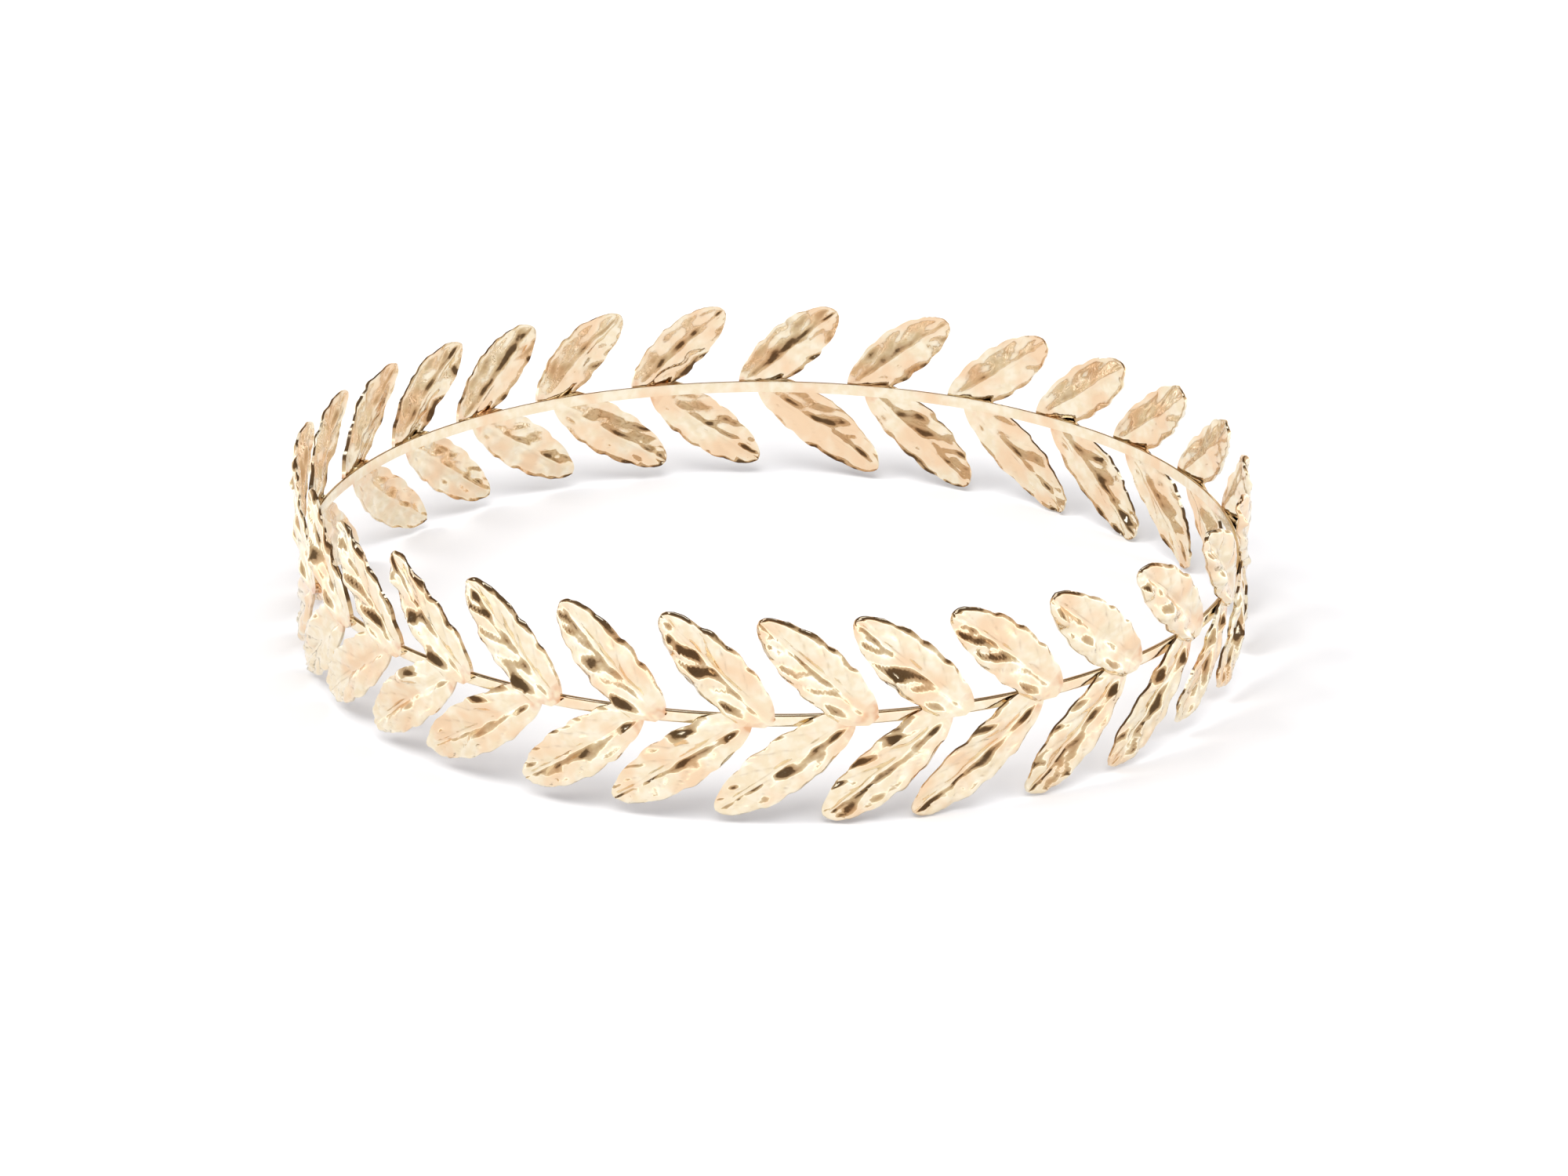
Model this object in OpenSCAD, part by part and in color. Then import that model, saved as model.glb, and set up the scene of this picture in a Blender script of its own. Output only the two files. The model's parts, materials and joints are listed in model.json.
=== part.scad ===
// Wreath headband of thin polished metal: a plain closed strip with pairs of veined leaves soldered round
// its outer face. Millimetres, +Z up, the front towards -Y. The ring's axis is the Z axis, and the lowest
// leaf tips stand on Z = 0.

/* [Band] */
// Girth of the head that the band goes round
head_girth = 550; // [500:5:600]
// Height of the strip
band_h = 2.3; // [1.8:0.1:4]
// Thickness of the strip
band_t = 1; // [0.8:0.1:1.6]

/* [Leaf pairs round the band] */
// How many pairs there are
pair_count = 28; // [20:1:30]
// Angle of the first pair, from the front towards +X
first_at = 66; // [0:0.1:90]
// Angle by which pairs crowd towards the front and open out behind
drift = 5.1; // [0:0.1:8]
// Turn of the place where they crowd most, from the front towards -X
drift_turn = 29; // [0:1:90]

/* [Leaf shape] */
// Width of a leaf, across its widest lobes
leaf_w = 10.2; // [6:0.1:11]
// Thickness of the leaf's metal
leaf_t = 0.9; // [0.7:0.1:1.2]
// How far along the leaf it is widest: 1 is half way, and more is nearer the tip
skew = 1; // [0.8:0.05:1.6]
// How hollow the half next to the band is towards the root: 0.3 is blunt, 0.5 is oval, and 1 is a wedge
near_taper = 0.36; // [0.3:0.01:1.1]
// The same of the half away from the band
far_taper = 0.46; // [0.3:0.01:1.1]
// The same of both halves towards the tip
tip_taper = 0.4; // [0.35:0.01:0.8]
// Vein pairs, each with a lobe on both edges
vein_pairs = 5; // [3:1:6]
// Depth of the notches between the lobes, as a share of the width
notch = 0.05; // [0:0.01:0.12]
// Height that the two halves of the blade are pressed up beside the midrib
relief = 0.9; // [0.4:0.1:1.4]
// Height of the ripple that the side veins make
ripple = 0.2; // [0:0.05:0.4]

/* [Upper leaves] */
// How far a leaf runs along the band
upper_run = 20.1; // [16:0.1:24]
// How far its tip rises above the band's middle
upper_rise = 17.7; // [14:0.1:24]

/* [Lower leaves] */
// How far its root is soldered on behind the upper leaf's
lower_start = 3.7; // [2:0.1:5]
// How far a leaf runs along the band
lower_run = 23.3; // [16:0.1:26]
// How far its tip falls below the band's middle
lower_drop = 17.1; // [14:0.1:24]

/* [Bending by hand] */
// Most that a pair is off its even place, in degrees
place_off = 0.8; // [0:0.1:1.5]
// Most that an upper leaf's run is off
upper_run_off = 1.9; // [0:0.1:2]
// Most that a lower leaf's run is off
lower_run_off = 1.4; // [0:0.1:2]
// Most that an upper tip's height is off
rise_off = 1.5; // [0:0.1:1.5]
// Most that a lower tip's height is off
drop_off = 1.4; // [0:0.1:1.5]
// Most that a tip is bent outwards
flare = 0.4; // [0:0.1:2]
// Most that a leaf is twisted about its midrib, in degrees
twist = 7; // [0:1:12]
// Most that a leaf's midrib is bowed sideways
bow = 0.3; // [0:0.1:1]

/* [Hidden] */

inner_r = head_girth / (2 * PI);
outer_r = inner_r + band_t;

// Roots are soldered across the middle of the band's outer face: a leaf's own face stands this far out from
// it, and the upper leaf's root lies over the lower one's
upper_seat = 0.8 * leaf_t;
lower_seat = 0.35 * leaf_t;
root_back = 0.4;
root_w = 1.9;
// Share of the leaf that stays flat where it lies on the band
flat_root = 0.3;

// The rounded end of the lowest leaf reaches this far below its tip
tip_below = 1;
band_z = lower_drop + drop_off + tip_below;

// A leaf is lofted through two sections for each vein pair, closer together towards the blunt tip
steps = 2 * vein_pairs;
crowding = 1.35;
tip_w = 2.5;

// One row for each point round a section. Columns: place across the half width, share of the relief, and
// share of the thickness below the outer face. Both edges are thin, as pressed metal is.
SIDE = 0;
HEIGHT = 1;
DEPTH = 2;
section = [
    [-1, 0.3, 0.5], [-0.55, 1, 0], [0, 0, 0], [0.55, 1, 0],
    [1, 0.3, 0.5], [0.55, 1, 1], [0, 0, 1], [-0.55, 1, 1]
];

// One row for each way in which hand work strays. Columns: step from pair to pair, and where it starts,
// both in degrees of one smooth wave.
STEP = 0;
START = 1;
PLACE = [302, 11];
UPPER_RUN = [34, 48];
UPPER_RISE = [13, 2];
LOWER_RUN = [149, 136];
LOWER_DROP = [36, 31];
FLARE = [139, -17];
TWIST = [97, 16];
BOW = [219, 5];

function stray(i, way, most) = most * sin(way[STEP] * i + way[START]);

// Angle of pair i, counted from the front towards +X
function even_at(i) = first_at - 360 * i / pair_count;
function pair_at(i) =
    even_at(i) - drift * sin(even_at(i) + drift_turn) + stray(i, PLACE, place_off);

// Along the leaf, from 0 at the root to 1 at the tip
function along(k) = 1 - pow(1 - k / steps, crowding);
function lobe(k) = k % 2 == 0 ? -1 : 1;
// Half width on one side of the midrib: side and band_side are negative below it and positive above it,
// and band_side is where the band lies
function half_w(k, t, side, band_side) =
    let (
        base_taper = side * band_side > 0 ? near_taper : far_taper,
        taper = base_taper + (tip_taper - base_taper) * t
    )
    max(
        (root_w + (tip_w - root_w) * t) / 2,
        leaf_w / 2 * pow(sin(180 * pow(t, skew)), taper) * (1 - notch + notch * lobe(k))
    );
function pressed(t) = t < flat_root ? 0 : pow(sin(180 * (t - flat_root) / (1 - flat_root)), 1.3);

// Puts a point of the flat pattern on the band's cylinder: u along the band, v up and w out from its face
function wrapped(at, u, v, w) =
    let (a = at - u / outer_r * 180 / PI, r = outer_r + w)
    [r * sin(a), -r * cos(a), band_z + v];

function leaf_point(k, p, at, run, rise, seat, tip_out, turn, bend) =
    let (
        t = along(k),
        reach = norm([run, rise]),
        tilt = atan2(rise, run),
        x = (reach + root_back) * t - root_back,
        off = p[SIDE] * half_w(k, t, p[SIDE], -sign(rise)),
        y = off + bend * sin(180 * t),
        w = seat + tip_out * t * t + tan(turn) * t * off
            + relief * pressed(t) * p[HEIGHT] + ripple * pressed(t) * lobe(k) * abs(p[SIDE])
            - leaf_t * p[DEPTH]
    )
    wrapped(at, x * cos(tilt) - y * sin(tilt), x * sin(tilt) + y * cos(tilt), w);

// One leaf: closed sections from root to tip, joined by triangles
module leaf(at, run, rise, seat, tip_out, turn, bend) {
    n = len(section);
    points = [
        for (k = [0:steps], p = section)
        leaf_point(k, p, at, run, rise, seat, tip_out, turn, bend)
    ];
    skin = [
        for (k = [0:steps - 1], j = [0:n - 1])
        let (a = k * n + j, b = k * n + (j + 1) % n)
        each [[a, b + n, b], [a, a + n, b + n]]
    ];
    root = [for (j = [1:n - 2]) [0, j, j + 1]];
    tip = [for (j = [1:n - 2]) [steps * n, steps * n + j + 1, steps * n + j]];
    color("burlywood") polyhedron(points, concat(skin, root, tip));
}

module band() {
    color("burlywood")
    translate([0, 0, band_z - band_h / 2])
    rotate_extrude($fn = 180)
    translate([inner_r, 0]) square([band_t, band_h]);
}

module upper_leaf(i) {
    leaf(
        at = pair_at(i),
        run = upper_run + stray(i, UPPER_RUN, upper_run_off),
        rise = upper_rise + stray(i, UPPER_RISE, rise_off),
        seat = upper_seat,
        tip_out = flare / 2 + stray(i, FLARE, flare / 2),
        turn = stray(i, TWIST, twist),
        bend = stray(i, BOW, bow)
    );
}

module lower_leaf(i) {
    leaf(
        at = pair_at(i) - lower_start / outer_r * 180 / PI,
        run = lower_run + stray(i, LOWER_RUN, lower_run_off),
        rise = -lower_drop - stray(i, LOWER_DROP, drop_off),
        seat = lower_seat,
        tip_out = flare / 2 - stray(i, FLARE, flare / 2),
        turn = stray(i, BOW, twist),
        bend = stray(i, TWIST, bow)
    );
}

module leaf_headband() {
    union() {
        band();
        for (i = [0:pair_count - 1]) {
            upper_leaf(i);
            lower_leaf(i);
        }
    }
}

leaf_headband();
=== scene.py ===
# A closed wreath headband of thin polished metal, standing on a white floor.
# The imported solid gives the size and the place; the leaves, the strip and their finish are made here.
import json
import math

import bpy
from mathutils import Matrix, Vector


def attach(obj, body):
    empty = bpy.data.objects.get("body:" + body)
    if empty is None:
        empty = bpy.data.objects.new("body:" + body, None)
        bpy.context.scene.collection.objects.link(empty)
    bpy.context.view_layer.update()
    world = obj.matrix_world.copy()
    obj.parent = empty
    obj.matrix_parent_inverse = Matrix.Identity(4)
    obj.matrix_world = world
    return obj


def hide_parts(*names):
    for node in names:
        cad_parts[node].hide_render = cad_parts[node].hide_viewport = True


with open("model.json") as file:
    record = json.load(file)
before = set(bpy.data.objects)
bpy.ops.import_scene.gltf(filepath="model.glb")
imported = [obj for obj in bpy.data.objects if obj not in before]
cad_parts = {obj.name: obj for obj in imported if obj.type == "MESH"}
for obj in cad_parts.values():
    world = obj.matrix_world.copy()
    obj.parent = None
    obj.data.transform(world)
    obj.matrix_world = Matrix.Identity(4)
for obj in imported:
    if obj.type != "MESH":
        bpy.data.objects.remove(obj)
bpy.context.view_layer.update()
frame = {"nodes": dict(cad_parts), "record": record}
print("frame loaded: ", ", ".join(frame["nodes"]))

mm = 0.001
degree = math.pi / 180
headband = "leaf_headband"

# the head opening's own mount says how wide the ring is and how high its strip lies
opening = frame["record"]["mounts"][0]
ring = {
    "innerRadius": opening["dims"]["r_mm"] * mm,
    "height": opening["dims"]["length_mm"] * mm,
    "middle": opening["pos_m"][2],
    "solidThickness": 1.0 * mm,
    "thickness": 0.8 * mm,  # the real strip's, measured in from the same outer face
}
ring["outerRadius"] = ring["innerRadius"] + ring["solidThickness"]


class Wire:  # a node's socket that can stand in a sum
    def __init__(self, sheet, socket):
        self.sheet, self.socket = sheet, socket

    def math(self, operation, *others):
        return self.sheet.node("ShaderNodeMath", {"operation": operation}, [self, *others])

    def __add__(self, other):
        return self.math("ADD", other)

    def __sub__(self, other):
        return self.math("SUBTRACT", other)

    def __mul__(self, other):
        return self.math("MULTIPLY", other)

    def __truediv__(self, other):
        return self.math("DIVIDE", other)

    def __neg__(self):
        return self * -1

    def __rsub__(self, other):
        return -self + other

    def __rtruediv__(self, other):
        return self.sheet.node("ShaderNodeMath", {"operation": "DIVIDE"}, [other, self])

    __radd__ = __add__
    __rmul__ = __mul__

    def wave(self):  # the sine of an angle in degrees
        return (self * degree).math("SINE")

    def crest(self):  # its cosine
        return (self * degree).math("COSINE")


class NodeSheet:  # a node tree, written one node at a time
    def __init__(self, tree):
        self.tree = tree
        tree.nodes.clear()

    def node(self, kind, settings=None, values=None, out=0):
        made = self.tree.nodes.new(kind)
        for name, value in (settings or {}).items():
            if name == "stops":
                self.setStops(made.color_ramp, value)
            else:
                setattr(made, name, value)
        pairs = values.items() if isinstance(values, dict) else enumerate(values or [])
        for name, value in pairs:
            if isinstance(value, Wire):
                self.tree.links.new(value.socket, made.inputs[name])
            else:
                made.inputs[name].default_value = value
        if out is None:
            return [Wire(self, socket) for socket in made.outputs]
        return Wire(self, made.outputs[out]) if made.outputs else made

    def setStops(self, ramp, stops):
        while len(ramp.elements) < len(stops):
            ramp.elements.new(1)
        for element, (place, colour) in zip(ramp.elements, stops):
            element.position = place
            element.color = (*colour, 1)


def mixed(sheet, amount, first, second):  # two colours, by a share from 0 to 1
    return sheet.node(
        "ShaderNodeMix", {"data_type": "RGBA", "clamp_factor": True},
        {0: amount, 6: first, 7: second}, out=2,
    )


# The leaf blank: one flat leaf, 1 long and as wide as the real one. Its relief waits in attributes,
# so that every copy can be pressed to its own depth. Places are shares of the length from the root, or of
# the width from the midrib.
leafBlank = {
    # the half next to the strip is full right down to its root, and the half away from it is narrower there
    "near": {"baseTaper": 0.22, "skew": 0.93, "lobeShift": 0.45, "fieldShift": 0.5},
    "far": {"baseTaper": 0.44, "skew": 1.07, "lobeShift": 0.1, "fieldShift": 0.15},
    "tipTaper": 0.5,
    "taperRate": 1.5,
    "nearStart": 1.1 * mm,  # how far the near half reaches at the root, and how fast it widens
    "nearWiden": 24 * mm,
    "rootWidth": 1.0 * mm,  # of the far half, at least, and how far that lasts
    "rootReach": 0.2,
    "endWidth": 0.15 * mm,  # of each half at the very ends, so that they close cleanly
    "thickness": 0.5 * mm,
    "solder": 0.1 * mm,  # how far the root sinks into the strip, and where that ends
    "solderTo": 0.25,
    "solderEdge": 0.15,
    "rootStainShadeReach": 0.11,  # how far the solder stain and the painted shade where the root meets the strip reach
    "veinPairs": 5,
    "lobeDepth": 0.1,  # how far each lobe's end is cut back, as a share of the width
    "lobeSkew": 0.72,
    "lobeFade": 0.6,
    "flatRoot": 0.1,
    "bladeEase": 0.7,
    "crown": 0.75,  # where each half is highest, and how much lower it is at its rim
    "rimDrop": 0.4,
    "veinSlant": 0.3,  # how far a side vein runs along while it goes from the midrib to the edge
    "veinSharpness": 3,
    "fieldEase": 0.7,  # the fields between the veins swell from the midrib outwards, and then sink a little
    "swellFrom": 0.35,
    "swellDrop": 0.3,
    "ribHalf": 0.62 * mm,
    "ribEdge": 0.31 * mm,
    "ribRoot": 1.3,  # the midrib narrows from root to tip
    "ribTaper": 0.8,
    "ribRise": 6,  # how fast it starts and ends
    "ribFall": 8,
    "rollWidth": 0.7 * mm,
    "rollEase": 1.15,
    "rollFrom": 0.12,
    "rollRise": 8,
    "rollOwn": 0.5,  # from here outwards the rim is rolled by the row's own share
    "fineFrom": 0.3,  # creases and crinkles are full from here outwards
    "crinkleFrom": 0.3,
    "crinkleRun": 0.5,
    "leafLength": 27 * mm,
    "innerShare": 0.6,  # the inner face is pressed less deep,
    "innerRib": 0.8,  # and its midrib not quite as much less
    "rowsAlong": 56,
    "rowCrowding": 0.5,  # towards both ends
    "columnsAcross": 26,
    "columnCrowding": 0.7,  # towards the midrib and both rims
    "sharpFrom": 50,  # degrees
}


def smooth(x):
    x = min(max(x, 0), 1)
    return x * x * (3 - 2 * x)


def crowded(x, share):  # from 0 to 1, closer together at both ends
    return (1 - math.cos(math.pi * x)) / 2 * share + x * (1 - share)


def lobeAt(phase):  # a long rise and a short fall, from 0 to 1
    part = phase % 1
    skew = leafBlank["lobeSkew"]
    return math.sin(math.pi / 2 * (part / skew if part < skew else (1 - part) / (1 - skew)))


def halfWidth(t, half, row):
    b, own = leafBlank, leafBlank[half]
    taper = own["baseTaper"] + (b["tipTaper"] - own["baseTaper"]) * min(t * b["taperRate"], 1)
    oval = row[half]["width"] * max(math.sin(math.pi * t ** own["skew"]), 0) ** taper
    lobe = lobeAt(t * b["veinPairs"] + own["lobeShift"])
    fade = math.sin(math.pi * t) ** b["lobeFade"] if 0 < t < 1 else 0
    wide = max(oval * (1 - b["lobeDepth"] * fade * (1 - lobe)), b["endWidth"])
    if half == "near":
        return min(wide, b["nearStart"] + b["nearWiden"] * t)
    return max(wide, b["rootWidth"] * max(1 - t / b["rootReach"], 0))


reliefNames = (
    "blade", "swell", "rib", "roll", "crease", "crinkle",
    "rootWelt", "middleWelt", "tipWelt", "farWelt", "root",
)


def reliefAt(t, s, half, row):  # the share of each relief, in the order of reliefNames
    b, own = leafBlank, row[half]
    side, wide = abs(s), halfWidth(t, half, row)
    start, crown = b["flatRoot"], b["crown"]
    along = math.sin(math.pi * (t - start) / (1 - start)) ** b["bladeEase"] if start < t < 1 else 0
    past = (side - crown) / (1 - crown)
    blade = along * (math.sin(math.pi / 2 * side / crown) if past < 0 else 1 - b["rimDrop"] * past ** 2)
    phase = (t - b["veinSlant"] * side) * b["veinPairs"] + leafBlank[half]["fieldShift"]
    field = abs(math.sin(math.pi * phase)) ** b["fieldEase"]
    swell = along * field * smooth(side / b["swellFrom"]) * (1 - b["swellDrop"] * side)
    groove = b["ribHalf"] * (b["ribRoot"] - b["ribTaper"] * t) - side * wide
    rib = smooth(groove / b["ribEdge"] + 0.5) * smooth(t * b["ribRise"]) * smooth((1 - t) * b["ribFall"])
    rim = max(1 - (1 - side) * wide / b["rollWidth"], 0) ** b["rollEase"]
    roll = rim * smooth((t - b["rollFrom"]) * b["rollRise"])
    roll *= 1 + (own["roll"] - 1) * smooth(side / b["rollOwn"])
    fine = smooth(side / b["fineFrom"])
    vein = along * (1 - field) ** b["veinSharpness"] * fine
    flank = 4 * rib * (1 - rib) * along  # deepest half way down the midrib's sides
    crease = max(vein, flank)
    crinkle = smooth((t - b["crinkleFrom"]) / b["crinkleRun"]) * fine * own["crinkle"]
    welts = [
        high * math.exp(-((t - at) * b["leafLength"] / long) ** 2 - ((side - across) * wide / broad) ** 2)
        if half == its else 0
        for its, at, across, long, broad, high in row["welts"]
    ]
    return blade, swell, rib, roll, crease, crinkle, *welts, max(1 - t / b["rootStainShadeReach"], 0)


def makeBlank(row):
    b = leafBlank
    rows, columns = b["rowsAlong"], b["columnsAcross"]
    innerShares = {**dict.fromkeys(reliefNames, b["innerShare"]), "rib": b["innerRib"]}
    rootExtra = max(row["Seat"] + b["solder"] - b["thickness"], 0)
    verts, faces, relief = [], [], []
    for face in (0, 1):
        for k in range(rows + 1):
            t = crowded(k / rows, b["rowCrowding"])
            thick = b["thickness"] + rootExtra * (1 - smooth((t - b["solderTo"]) / b["solderEdge"]))
            for j in range(columns + 1):
                s = math.copysign(crowded(abs(2 * j / columns - 1), b["columnCrowding"]), 2 * j - columns)
                half = "near" if s * row["nearSide"] > 0 else "far"
                verts.append((t, s * halfWidth(t, half, row), -face * thick))
                relief.append([
                    share * (innerShares[name] if face else 1)
                    for name, share in zip(reliefNames, reliefAt(t, s, half, row))
                ])
    layer = (rows + 1) * (columns + 1)

    def at(face, k, j):
        return face * layer + k * (columns + 1) + j

    for k in range(rows):
        for j in range(columns):
            faces.append((at(0, k, j), at(0, k + 1, j), at(0, k + 1, j + 1), at(0, k, j + 1)))
            faces.append((at(1, k, j), at(1, k, j + 1), at(1, k + 1, j + 1), at(1, k + 1, j)))
        faces.append((at(0, k, 0), at(1, k, 0), at(1, k + 1, 0), at(0, k + 1, 0)))
        faces.append((at(0, k, columns), at(0, k + 1, columns), at(1, k + 1, columns), at(1, k, columns)))
    for j in range(columns):
        faces.append((at(0, 0, j), at(0, 0, j + 1), at(1, 0, j + 1), at(1, 0, j)))
        faces.append((at(0, rows, j), at(1, rows, j), at(1, rows, j + 1), at(0, rows, j + 1)))
    mesh = bpy.data.meshes.new("leafBlank")
    mesh.from_pydata(verts, [], faces)
    for name, shares in zip(reliefNames, zip(*relief)):
        mesh.attributes.new(name, "FLOAT", "POINT").data.foreach_set("value", shares)
    mesh.attributes.new("inner", "FLOAT", "POINT").data.foreach_set("value", [0] * layer + [1] * layer)
    print("leaf blank: ", len(mesh.polygons), "faces")
    return mesh


# Leaf rows: the blank is repeated, bent to each leaf's own run and rise, and wrapped round the strip.
# A name with a capital is an input of the tree, and the others shape a row's own blank. A Step and a Turn
# are in degrees of the wave that says how hand work varies from pair to pair.
leafRow = {
    "Pair Count": 28,
    "First Angle": 66.0,
    "Drift": 5.1,
    "Drift Turn": 29.0,
    "Place Off": 0.8, "Place Step": 302.0, "Place Turn": 11.0,
    "Root Back": 0.4 * mm,
    "Flare": 0.4 * mm, "Flare Step": 139.0, "Flare Turn": -17.0,
    "Twist": 7.0,
    "Bow": 0.3 * mm,
    "Fold Above": 0.16,  # the slopes of the two halves, which meet in a valley
    "Fold Below": 0.1,
    "Held": 0.3, "Held Edge": 0.1,  # up to here the strip keeps a leaf from being dented
    "Relief": 0.28 * mm,  # how high each half is pressed up beside the midrib
    "Relief Least": 0.2, "Relief Spread": 1.6,  # its share differs from place to place
    "Pillow": 0.42 * mm,  # how far the fields between the veins swell
    "Pillow Least": 0.35, "Pillow Spread": 5.0, "Pillow Drop": 2.0,
    "Chance Scale": 0.6,  # how fine these differences are, where the dents are 1
    "Rib": 0.14 * mm,
    "Dash": 4.2 * mm,  # the midrib is deep and shallow by turns
    "Dash Contrast": 10.0, "Dash Depth": 0.9,
    "Vein": 0.2 * mm,
    "Welt": 0.78 * mm,
    "Roll": 0.44 * mm,  # how far the rim is turned down
    "Dent": 0.24 * mm,
    "Dent Size": 3.2 * mm,
    "Dent Stretch": 0.62,  # less than 1 makes the dents longer along the leaf
    "Dent Contrast": 7.0,
    "Dent Least": 0.6, "Dent Growth": 0.8,  # they deepen from root to tip
    "Crinkle": 0.2 * mm,  # smaller dents, which grow towards the tip
    "Crinkle Scale": 2.4,  # how fine they are, where the dents are 1
    "Slant": 0.8,
    "Ragged": 0.25 * mm,
    "Ragged From": 2.0 * mm,
    "Leaf Step": 0.05,  # how far apart two leaves lie in the noise
}
weltLifts = {  # which leaves have a welt raised. Columns: the wave's step, its spread, and its middle.
    "rootWelt": (67, 0.4, 1.1),
    "middleWelt": (149, 0.7, 0.7),
    "tipWelt": (101, 0.6, 0.6),
    "farWelt": (197, 0.5, 0.7),
}
upperRow = {
    "Start": 0.0,
    "Run": 20.1 * mm, "Run Off": 1.9 * mm, "Run Step": 34.0, "Run Turn": 48.0,
    "Rise": 17.7 * mm, "Rise Off": 1.5 * mm, "Rise Step": 13.0, "Rise Turn": 2.0,
    "nearSide": -1,  # the strip lies below the leaf: it is 1 where the strip lies above
    "near": {"width": 5.25 * mm, "roll": 1.0, "crinkle": 1.0},
    "far": {"width": 5.3 * mm, "roll": 1.0, "crinkle": 0.3},
    "welts": [  # raised spots: on which half, along, across, half sizes both ways, and share of the height
        ("near", 0.23, 0.8, 2.8 * mm, 0.8 * mm, 1.05),
        ("near", 0.53, 0.68, 2.3 * mm, 1.05 * mm, 1.35),
        ("near", 0.84, 0.62, 1.3 * mm, 0.8 * mm, 1.1),
        ("far", 0.54, 0.55, 2.0 * mm, 0.9 * mm, 0.2),
    ],
    "Seat": 0.72 * mm, "Flare Way": 1.0, "Dent Seed": 0.0,
    "Twist Step": 97.0, "Twist Turn": 16.0, "Bow Step": 219.0, "Bow Turn": 5.0,
}
lowerRow = {
    "Start": 3.7 * mm,
    "Run": 23.3 * mm, "Run Off": 1.4 * mm, "Run Step": 149.0, "Run Turn": 136.0,
    "Rise": -17.1 * mm, "Rise Off": -1.4 * mm, "Rise Step": 36.0, "Rise Turn": 31.0,
    "nearSide": 1,
    "near": {"width": 5.35 * mm, "roll": 0.3, "crinkle": 1.0},
    "far": {"width": 5.2 * mm, "roll": 1.0, "crinkle": 1.1},
    "welts": [
        ("far", 0.18, 0.33, 1.7 * mm, 0.7 * mm, 0.68),
        ("near", 0.42, 0.66, 3.1 * mm, 0.9 * mm, 1.05),
        ("near", 0.83, 0.4, 1.2 * mm, 0.8 * mm, 0.9),
        ("far", 0.52, 0.38, 2.1 * mm, 1.0 * mm, 0.9),
    ],
    "Seat": 0.32 * mm, "Flare Way": -1.0, "Dent Seed": 50.0,
    "Twist Step": 219.0, "Twist Turn": 5.0, "Bow Step": 97.0, "Bow Turn": 16.0,
}


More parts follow.
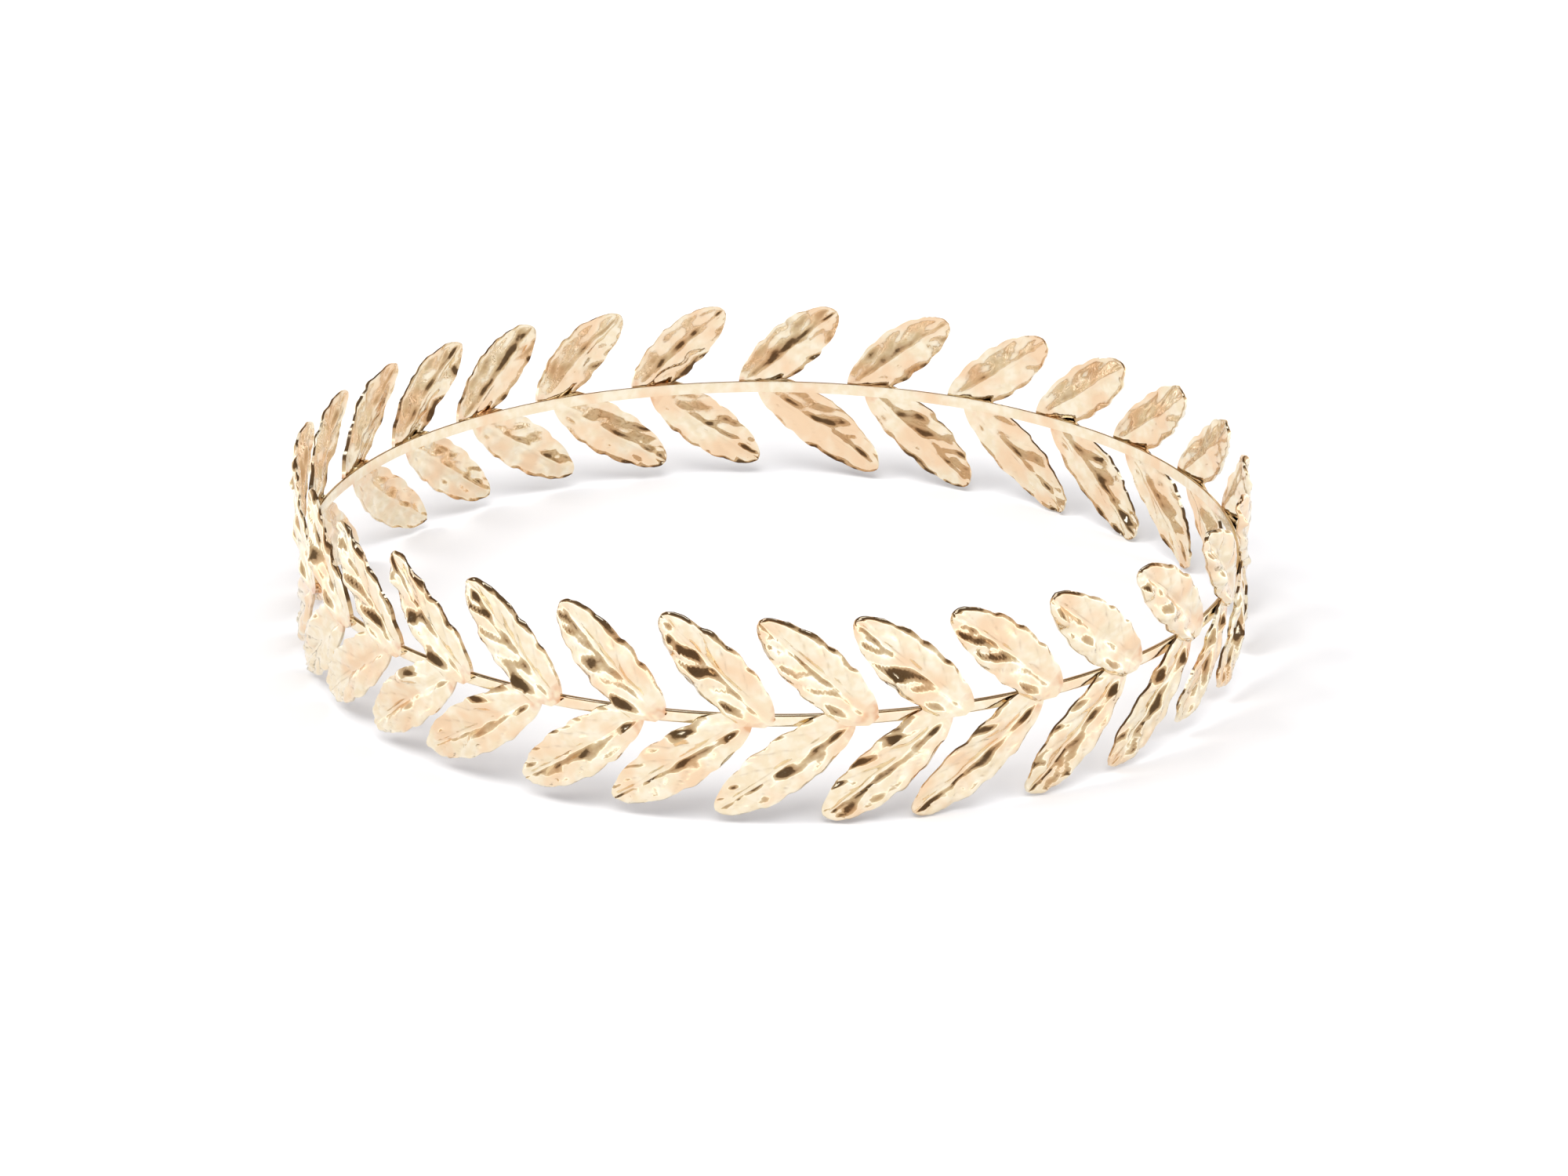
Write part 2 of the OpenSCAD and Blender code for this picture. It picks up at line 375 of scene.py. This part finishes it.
def leafRowTree(material):
    tree = bpy.data.node_groups.new("Leaf row", "GeometryNodeTree")
    tree.interface.new_socket(name="Geometry", in_out="INPUT", socket_type="NodeSocketGeometry")
    tree.interface.new_socket(name="Geometry", in_out="OUTPUT", socket_type="NodeSocketGeometry")
    sizes = {**leafRow, **upperRow, "Outer Radius": 0.0, "Middle": 0.0}
    for name, value in sizes.items():
        if name[0].islower():
            continue
        kind = "NodeSocketInt" if isinstance(value, int) else "NodeSocketFloat"
        tree.interface.new_socket(name=name, in_out="INPUT", socket_type=kind).default_value = value
    sheet = NodeSheet(tree)
    given = sheet.node("NodeGroupInput", out=None)
    g = {wire.socket.name: wire for wire in given if wire.socket.name}

    # one copy of the blank for each pair, which remembers its number
    points = sheet.node("GeometryNodePoints", values={"Count": g["Pair Count"]})
    leaf = g["Geometry"]
    copies = sheet.node("GeometryNodeInstanceOnPoints", values={"Points": points, "Instance": leaf})
    number = sheet.node("GeometryNodeInputIndex")
    numbered = sheet.node(
        "GeometryNodeStoreNamedAttribute", {"data_type": "FLOAT", "domain": "INSTANCE"},
        {"Geometry": copies, "Name": "pair", "Value": number},
    )
    loose = sheet.node("GeometryNodeRealizeInstances", values=[numbered])
    i = sheet.node("GeometryNodeInputNamedAttribute", {"data_type": "FLOAT"}, {"Name": "pair"})
    place = sheet.node("GeometryNodeInputPosition")
    t, side, height = sheet.node("ShaderNodeSeparateXYZ", values=[place], out=None)

    def stray(way):  # from -1 to 1
        return (i * g[way + " Step"] + g[way + " Turn"]).wave()

    # where this leaf starts, and how far it runs and rises
    even = g["First Angle"] - i * 360 / g["Pair Count"]
    start = even - g["Drift"] * (even + g["Drift Turn"]).wave() + stray("Place") * g["Place Off"]
    start = start - g["Start"] / g["Outer Radius"] / degree
    run = g["Run"] + stray("Run") * g["Run Off"]
    rise = g["Rise"] + stray("Rise") * g["Rise Off"]
    reach = (run * run + rise * rise).math("SQRT")
    tipOut = g["Flare"] / 2 * (g["Flare Way"] * stray("Flare") + 1)
    twist = stray("Twist") * g["Twist"] * degree
    bow = stray("Bow") * g["Bow"]

    # long dents that slant as the veins do, and a ragged rim, other on each leaf
    slant = t * reach - side.math("ABSOLUTE") * g["Slant"]
    leafPlace = (i + g["Dent Seed"]) * g["Leaf Step"]
    spot = sheet.node("ShaderNodeCombineXYZ", values=[slant * g["Dent Stretch"], side, leafPlace])
    ribSpot = sheet.node("ShaderNodeCombineXYZ", values=[t * reach, leafPlace])

    def noise(where, scale, detail, roughness=0.5, dimensions="3D"):  # its values lie round 0.5
        return sheet.node(
            "ShaderNodeTexNoise", {"noise_dimensions": dimensions},
            {"Vector": where, "Scale": scale, "Detail": detail, "Roughness": roughness},
        )

    def crisp(wire, contrast):  # from -1 to 1
        return ((wire - 0.5) * contrast).math("TANH")

    def share(name):  # of a relief, as the blank has it
        return sheet.node("GeometryNodeInputNamedAttribute", {"data_type": "FLOAT"}, {"Name": name})

    def lift(step, spread, middle):  # how far one welt is raised on this leaf
        return ((i * step + g["Dent Seed"]).wave() * spread + middle).math("MAXIMUM", 0.0)

    dent = noise(spot, 1 / g["Dent Size"], 1.0, 0.4)
    rough = noise(spot, g["Crinkle Scale"] / g["Dent Size"], 1.0)
    chance = noise(spot, g["Chance Scale"] / g["Dent Size"], 0.0)
    dash = noise(ribSpot, 1 / g["Dash"], 0.0, dimensions="2D")
    free = t.math("SMOOTH_MIN", g["Held"], g["Held Edge"]) / g["Held"]
    blade = g["Relief"] * share("blade") * (chance * g["Relief Spread"] + g["Relief Least"])
    puffed = (chance * g["Pillow Spread"] - g["Pillow Drop"]).math("MAXIMUM", g["Pillow Least"])
    pillows = g["Pillow"] * share("swell") * puffed
    groove = g["Rib"] * (crisp(dash, g["Dash Contrast"]) * g["Dash Depth"] + 1) * share("rib")
    rim = g["Roll"] * share("roll") * (rough + 0.5)
    deeper = t * g["Dent Growth"] + g["Dent Least"]
    dents = crisp(dent, g["Dent Contrast"]) * g["Dent"] * free * deeper
    crinkles = crisp(rough, g["Dent Contrast"]) * g["Crinkle"] * share("crinkle")
    fold = side.math("MAXIMUM", 0.0) * g["Fold Above"] - side.math("MINIMUM", 0.0) * g["Fold Below"]
    welts = sum(share(name) * lift(*sizes) for name, sizes in weltLifts.items())
    pressed = (
        blade + pillows - groove - g["Vein"] * share("crease") - rim
        + dents + crinkles + fold * free + g["Welt"] * welts
    )
    ragged = side + (rough - 0.5) * 2 * g["Ragged"] * (side / g["Ragged From"]).math("TANH") * free

    # the flat leaf, bent: along, across and out from the strip's face
    along = (reach + g["Root Back"]) * t - g["Root Back"]
    across = ragged + bow * (t * 180).wave()
    out = height + g["Seat"] + tipOut * t * t + twist.math("TANGENT") * t * side + pressed
    u = (along * run - across * rise) / reach
    v = (along * rise + across * run) / reach
    turn = start - u / g["Outer Radius"] / degree
    radius = g["Outer Radius"] + out
    wrapped = sheet.node(
        "ShaderNodeCombineXYZ", values=[radius * turn.wave(), -(radius * turn.crest()), g["Middle"] + v],
    )
    bent = sheet.node("GeometryNodeSetPosition", values={"Geometry": loose, "Position": wrapped})
    turned = sheet.node("GeometryNodeFlipFaces", values=[bent])  # because the wrapping mirrors a leaf
    plated = sheet.node("GeometryNodeSetMaterial", values={"Geometry": turned, "Material": material})
    sheet.node("NodeGroupOutput", values=[plated])
    return tree


# The strip: a closed hoop of half-round metal, flat inside and rounded outside
stripShape = {
    "stepsRound": 420,
    "outerCorner": 0.42 * mm,
    "innerCorner": 0.06 * mm,
    "cornerSteps": 5,
    "crown": 0.05 * mm,  # both faces are very slightly domed
    # Rolled by hand, so not quite even. Columns of the waves: how many go round, and where each starts.
    "lift": 0.025 * mm,
    "liftWaves": ((5, 1), (13, 0)),
    "push": 0.0125 * mm,
    "pushWaves": ((7, 0), (17, 2)),
    "sharpFrom": 60,  # degrees
}


def stripOutline():  # radius and height from the middle of the strip's section, once round it
    s = stripShape
    halfThick, halfHigh = ring["thickness"] / 2, ring["height"] / 2
    outline = []
    for quarter, (side, up) in enumerate([(1, 1), (-1, 1), (-1, -1), (1, -1)]):
        corner = s["outerCorner"] if side > 0 else s["innerCorner"]
        for k in range(s["cornerSteps"] + 1):
            a = (quarter + k / s["cornerSteps"]) * math.pi / 2
            outline.append((
                side * (halfThick - corner) + corner * math.cos(a),
                up * (halfHigh - corner) + corner * math.sin(a),
            ))
        if quarter in (0, 2):
            outline.append((0, up * halfHigh))
        else:
            outline.append((side * (halfThick + s["crown"]), 0))
    return outline


def makeStrip():
    s = stripShape
    outline = stripOutline()
    middle = ring["outerRadius"] - ring["thickness"] / 2
    n, m = s["stepsRound"], len(outline)
    verts, faces = [], []
    for k in range(n):
        a = 2 * math.pi * k / n
        lift = s["lift"] * sum(math.sin(count * a + shift) for count, shift in s["liftWaves"])
        push = s["push"] * sum(math.sin(count * a + shift) for count, shift in s["pushWaves"])
        for out, up in outline:
            r = middle + out + push
            verts.append((r * math.cos(a), r * math.sin(a), ring["middle"] + up + lift))
    for k in range(n):
        for j in range(m):
            here, ahead = k * m, (k + 1) % n * m
            faces.append((here + j, ahead + j, ahead + (j + 1) % m, here + (j + 1) % m))
    mesh = bpy.data.meshes.new("strip")
    mesh.from_pydata(verts, [], faces)
    return mesh


# The finish: pale rose gold plating, polished, with painted shade in the creases, a solder stain with
# painted shade at the leaf roots, and a painted warmer reflection on the leaves' inner faces
goldFinish = {
    "gold": (0.85, 0.735, 0.53),
    "rose": (0.855, 0.64, 0.43),
    "pale": (0.9, 0.815, 0.645),
    # a solder stain with painted shade: the reddish brown laid on the leaf roots where they meet the strip
    "rootStainAndShade": (0.72, 0.42, 0.24),
    # painted shade: the dark colour mixed into the creases of the veins and beside the midrib
    "paintedCreaseShade": (0.38, 0.24, 0.13),
    "patchSize": 7 * mm,
    "patchContrast": 5,
    "paleContrast": 4,
    "paintedInnerReflection": 0.2,  # painted reflection: how much more of the leaves' inner faces is rose, for the warmer light they mirror from the other leaves
    "roughness": 0.09,
    "roughnessSpread": 0.12,
    "creaseRoughness": 0.1,
    "grainMiddle": 0.4,
    "grainSize": 0.5 * mm,
    "grainDepth": 0.012 * mm,
    "dimpleSize": 1.7 * mm,
    "dimpleDepth": 0.06 * mm,
    "creaseShadeStrength": 0.75,
    "rootStainShadeStrength": 0.8,
    "rootStainShadeContrast": 5,
    "rootStainShadeLeast": 0.35,
}


def makeGold(name, dimpled, rosy):
    f = goldFinish
    material = bpy.data.materials.new(name)
    material.use_nodes = True
    sheet = NodeSheet(material.node_tree)
    place = sheet.node("ShaderNodeTexCoord", out="Object")

    def noise(size, detail=2.0):
        return sheet.node(
            "ShaderNodeTexNoise", values={"Vector": place, "Scale": 1 / size, "Detail": detail},
        )

    def share(name):  # 0 where a piece doesn't have it
        return sheet.node("ShaderNodeAttribute", {"attribute_name": name}, out="Fac")

    def colour(name):
        return (*f[name], 1)

    def bump(height, distance, **values):
        return sheet.node("ShaderNodeBump", values={"Height": height, "Distance": distance, **values})

    crease, inner, root = share("crease"), share("inner"), share("root")
    patch, grain, dimple = noise(f["patchSize"]), noise(f["grainSize"], 3.0), noise(f["dimpleSize"], 1.0)
    # painted reflection: the leaves' inner faces get more rose, for the warmer light they mirror from the
    # other leaves
    rose = (patch - 0.5) * f["patchContrast"] + inner * f["paintedInnerReflection"] + rosy
    pale = (dimple - 0.5) * f["paleContrast"] + 0.5
    tint = mixed(sheet, rose, mixed(sheet, pale, colour("gold"), colour("pale")), colour("rose"))
    # a solder stain with painted shade at the leaf roots, where they meet the strip and the neighbouring
    # leaf
    rootStainAndShade = root.math("SQRT") * ((patch + dimple - 1) * f["rootStainShadeContrast"] + f["rootStainShadeLeast"])
    rootStainedAndShaded = mixed(sheet, rootStainAndShade * f["rootStainShadeStrength"], tint, colour("rootStainAndShade"))
    # painted shade: the creases of the veins and beside the midrib are darkened towards this colour
    creaseShaded = mixed(sheet, crease * crease * f["creaseShadeStrength"], rootStainedAndShaded, colour("paintedCreaseShade"))
    pits = bump(dimple, f["dimpleDepth"] * dimpled, Normal=bump(grain, f["grainDepth"]))
    uneven = (grain - f["grainMiddle"]) * f["roughnessSpread"]
    rough = f["roughness"] + uneven + crease * f["creaseRoughness"]
    shader = sheet.node("ShaderNodeBsdfPrincipled", values={
        "Base Color": creaseShaded, "Metallic": 1.0, "Roughness": rough, "Normal": pits,
    })
    sheet.node("ShaderNodeOutputMaterial", values=[shader])
    return material


leafGold = makeGold("polishedLeafGold", dimpled=1.0, rosy=0.2)
stripGold = makeGold("polishedStripGold", dimpled=0.15, rosy=0.1)
rowTree = leafRowTree(leafGold)


def addPiece(name, data):  # a mesh, a lamp or a camera
    piece = bpy.data.objects.new(name, data)
    bpy.context.scene.collection.objects.link(piece)
    return piece


def finishPiece(piece, sharpFrom):
    piece.data.shade_smooth()
    piece.data.set_sharp_from_angle(angle=sharpFrom * degree)
    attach(piece, "root")
    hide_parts(headband)
    print("made", piece.name, "with", len(piece.data.polygons), "faces")


def makeLeafRow(name, row):
    piece = addPiece(name, makeBlank(row))
    modifier = piece.modifiers.new("Leaf row", "NODES")
    modifier.node_group = rowTree
    given = {**leafRow, **row, "Outer Radius": ring["outerRadius"], "Middle": ring["middle"]}
    for socket in rowTree.interface.items_tree:
        if socket.in_out == "INPUT" and socket.name in given:
            modifier[socket.identifier] = given[socket.name]
    graph = bpy.context.evaluated_depsgraph_get()
    plain = bpy.data.meshes.new_from_object(
        piece.evaluated_get(graph), preserve_all_data_layers=True, depsgraph=graph,
    )
    piece.modifiers.clear()
    piece.data = plain
    plain.name = name
    finishPiece(piece, leafBlank["sharpFrom"])


makeLeafRow("upper_leaves", upperRow)
makeLeafRow("lower_leaves", lowerRow)
strip = addPiece("band", makeStrip())
strip.data.materials.append(stripGold)
finishPiece(strip, stripShape["sharpFrom"])

# The studio: a white floor, soft light, and a dim room with two soft boxes that only the metal mirrors
studio = {
    "floorSize": 14.0,
    "floorColour": (0.93, 0.93, 0.94),
    "poolFrom": 0.14,  # from here outwards the white table glows as a painted pool of light, which only the metal shows
    "poolEdge": 0.3,
    "poolLight": 0.7,
    "fillColour": (0.92, 0.94, 1.0, 1),
    "fillLight": 0.58,
    "lampColour": (1.0, 0.975, 0.94),
    "walls": [  # by the sine of the height above the horizon
        (0.0, (1.16, 1.13, 1.08)),
        (0.03, (1.04, 0.98, 0.9)),
        (0.1, (0.8, 0.69, 0.55)),
        (0.35, (0.6, 0.45, 0.32)),
        (0.42, (0.28, 0.19, 0.12)),
        (0.47, (0.15, 0.098, 0.06)),
        (0.9, (0.1, 0.066, 0.042)),
        (0.94, (1.0, 1.0, 1.0)),
    ],
    "boxCount": 2,
    "boxTurn": 15.0,  # where the first one stands, from +X towards +Y
    "boxHalfWidth": 16.0,  # degrees
    "boxLow": 0.72,
    "boxHigh": 0.9,
    "boxLight": 1.8,
    "boxEdge": 25.0,  # how crisp its edges are, and the sides' as a share of that
    "boxSideEdge": 0.4,
}


def grey(light):
    return (light, light, light, 1)


def makeFloor():
    s = studio
    half = s["floorSize"] / 2
    corners = [(-half, -half, 0), (half, -half, 0), (half, half, 0), (-half, half, 0)]
    mesh = bpy.data.meshes.new("floor")
    mesh.from_pydata(corners, [], [(0, 1, 2, 3)])
    floor = addPiece("floor", mesh)
    material = bpy.data.materials.new("whitePaper")
    material.use_nodes = True
    sheet = NodeSheet(material.node_tree)
    place = sheet.node("ShaderNodeTexCoord", out="Object")
    reach = sheet.node("ShaderNodeVectorMath", {"operation": "LENGTH"}, [place], out="Value")
    # painted light: beyond poolFrom the floor glows, a pool of light that shows only in the metal's
    # reflections
    pool = mixed(sheet, (reach - s["poolFrom"]) / s["poolEdge"], grey(0), grey(s["poolLight"]))
    paper = sheet.node("ShaderNodeBsdfPrincipled", values={
        "Base Color": (*s["floorColour"], 1), "Roughness": 0.9, "Specular IOR Level": 0.1,
        "Emission Color": pool, "Emission Strength": 1.0,
    })
    sheet.node("ShaderNodeOutputMaterial", values=[paper])
    mesh.materials.append(material)


def makeRoom():
    s = studio
    world = bpy.data.worlds.new("room")
    bpy.context.scene.world = world
    world.use_nodes = True
    sheet = NodeSheet(world.node_tree)
    way = sheet.node("ShaderNodeTexCoord", out="Generated")
    x, y, z = sheet.node("ShaderNodeSeparateXYZ", values=[way], out=None)
    walls = sheet.node("ShaderNodeValToRGB", {"stops": s["walls"]}, {"Fac": z})

    def step(wire):  # 0 below nought, 1 above
        return sheet.node("ShaderNodeClamp", values=[wire * s["boxEdge"] + 0.5])

    turn = y.math("ARCTAN2", x) / degree
    side = math.cos(s["boxCount"] * s["boxHalfWidth"] * degree)
    facing = ((turn - s["boxTurn"]) * s["boxCount"]).crest() - side
    box = step(facing * s["boxSideEdge"]) * step(z - s["boxLow"]) * step(s["boxHigh"] - z)
    lit = mixed(sheet, box, walls, grey(s["boxLight"]))
    ray = {wire.socket.name: wire for wire in sheet.node("ShaderNodeLightPath", out=None)}
    fill = sheet.node("ShaderNodeBackground", values={"Color": s["fillColour"], "Strength": s["fillLight"]})
    dim = sheet.node("ShaderNodeBackground", values={"Color": lit, "Strength": 1.0})
    mirrored = sheet.node("ShaderNodeMixShader", values=[ray["Is Glossy Ray"], fill, dim])
    white = sheet.node("ShaderNodeBackground", values={"Color": grey(1), "Strength": 1.0})
    seen = sheet.node("ShaderNodeMixShader", values=[ray["Is Camera Ray"], mirrored, white])
    sheet.node("ShaderNodeOutputWorld", values=[seen])


# Three wide lamps that give the soft shadows. Columns: turn, height, strength and width in degrees.
lamps = {
    "front": (-95.0, 62.0, 1.5, 40.0),
    "left": (-165.0, 48.0, 0.84, 24.0),
    "right": (-12.0, 48.0, 0.4, 24.0),
}


def makeLamps():
    for name, (turn, height, strength, width) in lamps.items():
        light = bpy.data.lights.new(name, "SUN")
        light.energy = strength
        light.angle = width * degree
        light.color = studio["lampColour"]
        lamp = addPiece(name, light)
        across, up = math.cos(height * degree), math.sin(height * degree)
        towards = Vector((across * math.cos(turn * degree), across * math.sin(turn * degree), up))
        lamp.location = towards
        lamp.rotation_euler = towards.to_track_quat("Z", "Y").to_euler()
        lamp.visible_glossy = False


# The camera stands where the photograph's did, worked out from the strip's ellipse and the leaf tips
photo = {
    "width": 2000, "height": 1500,
    "ringCentre": (985.2, 687.2),  # pixels, from the top left corner
    "focal": 6322.0,  # pixels
    "distance": 0.9416,
    "elevation": 20.92,
    "roll": 0.58,
}


def makeCamera():
    p = photo
    camera = bpy.data.cameras.new("camera")
    camera.sensor_width = 36
    camera.lens = camera.sensor_width * p["focal"] / p["width"]
    camera.shift_x = (p["width"] / 2 - p["ringCentre"][0]) / p["width"]
    camera.shift_y = (p["ringCentre"][1] - p["height"] / 2) / p["width"]
    holder = addPiece("camera", camera)
    up = p["elevation"] * degree
    back = Vector((0, -math.cos(up), math.sin(up)))
    turn = (-back).to_track_quat("-Z", "Y").to_matrix() @ Matrix.Rotation(p["roll"] * degree, 3, "Z")
    stand = Vector((0, 0, ring["middle"])) + back * p["distance"]
    holder.matrix_world = Matrix.Translation(stand) @ turn.to_4x4()
    bpy.context.scene.camera = holder


makeFloor()
makeRoom()
makeLamps()
makeCamera()
bpy.context.scene.view_settings.view_transform = "Standard"
print("studio set")
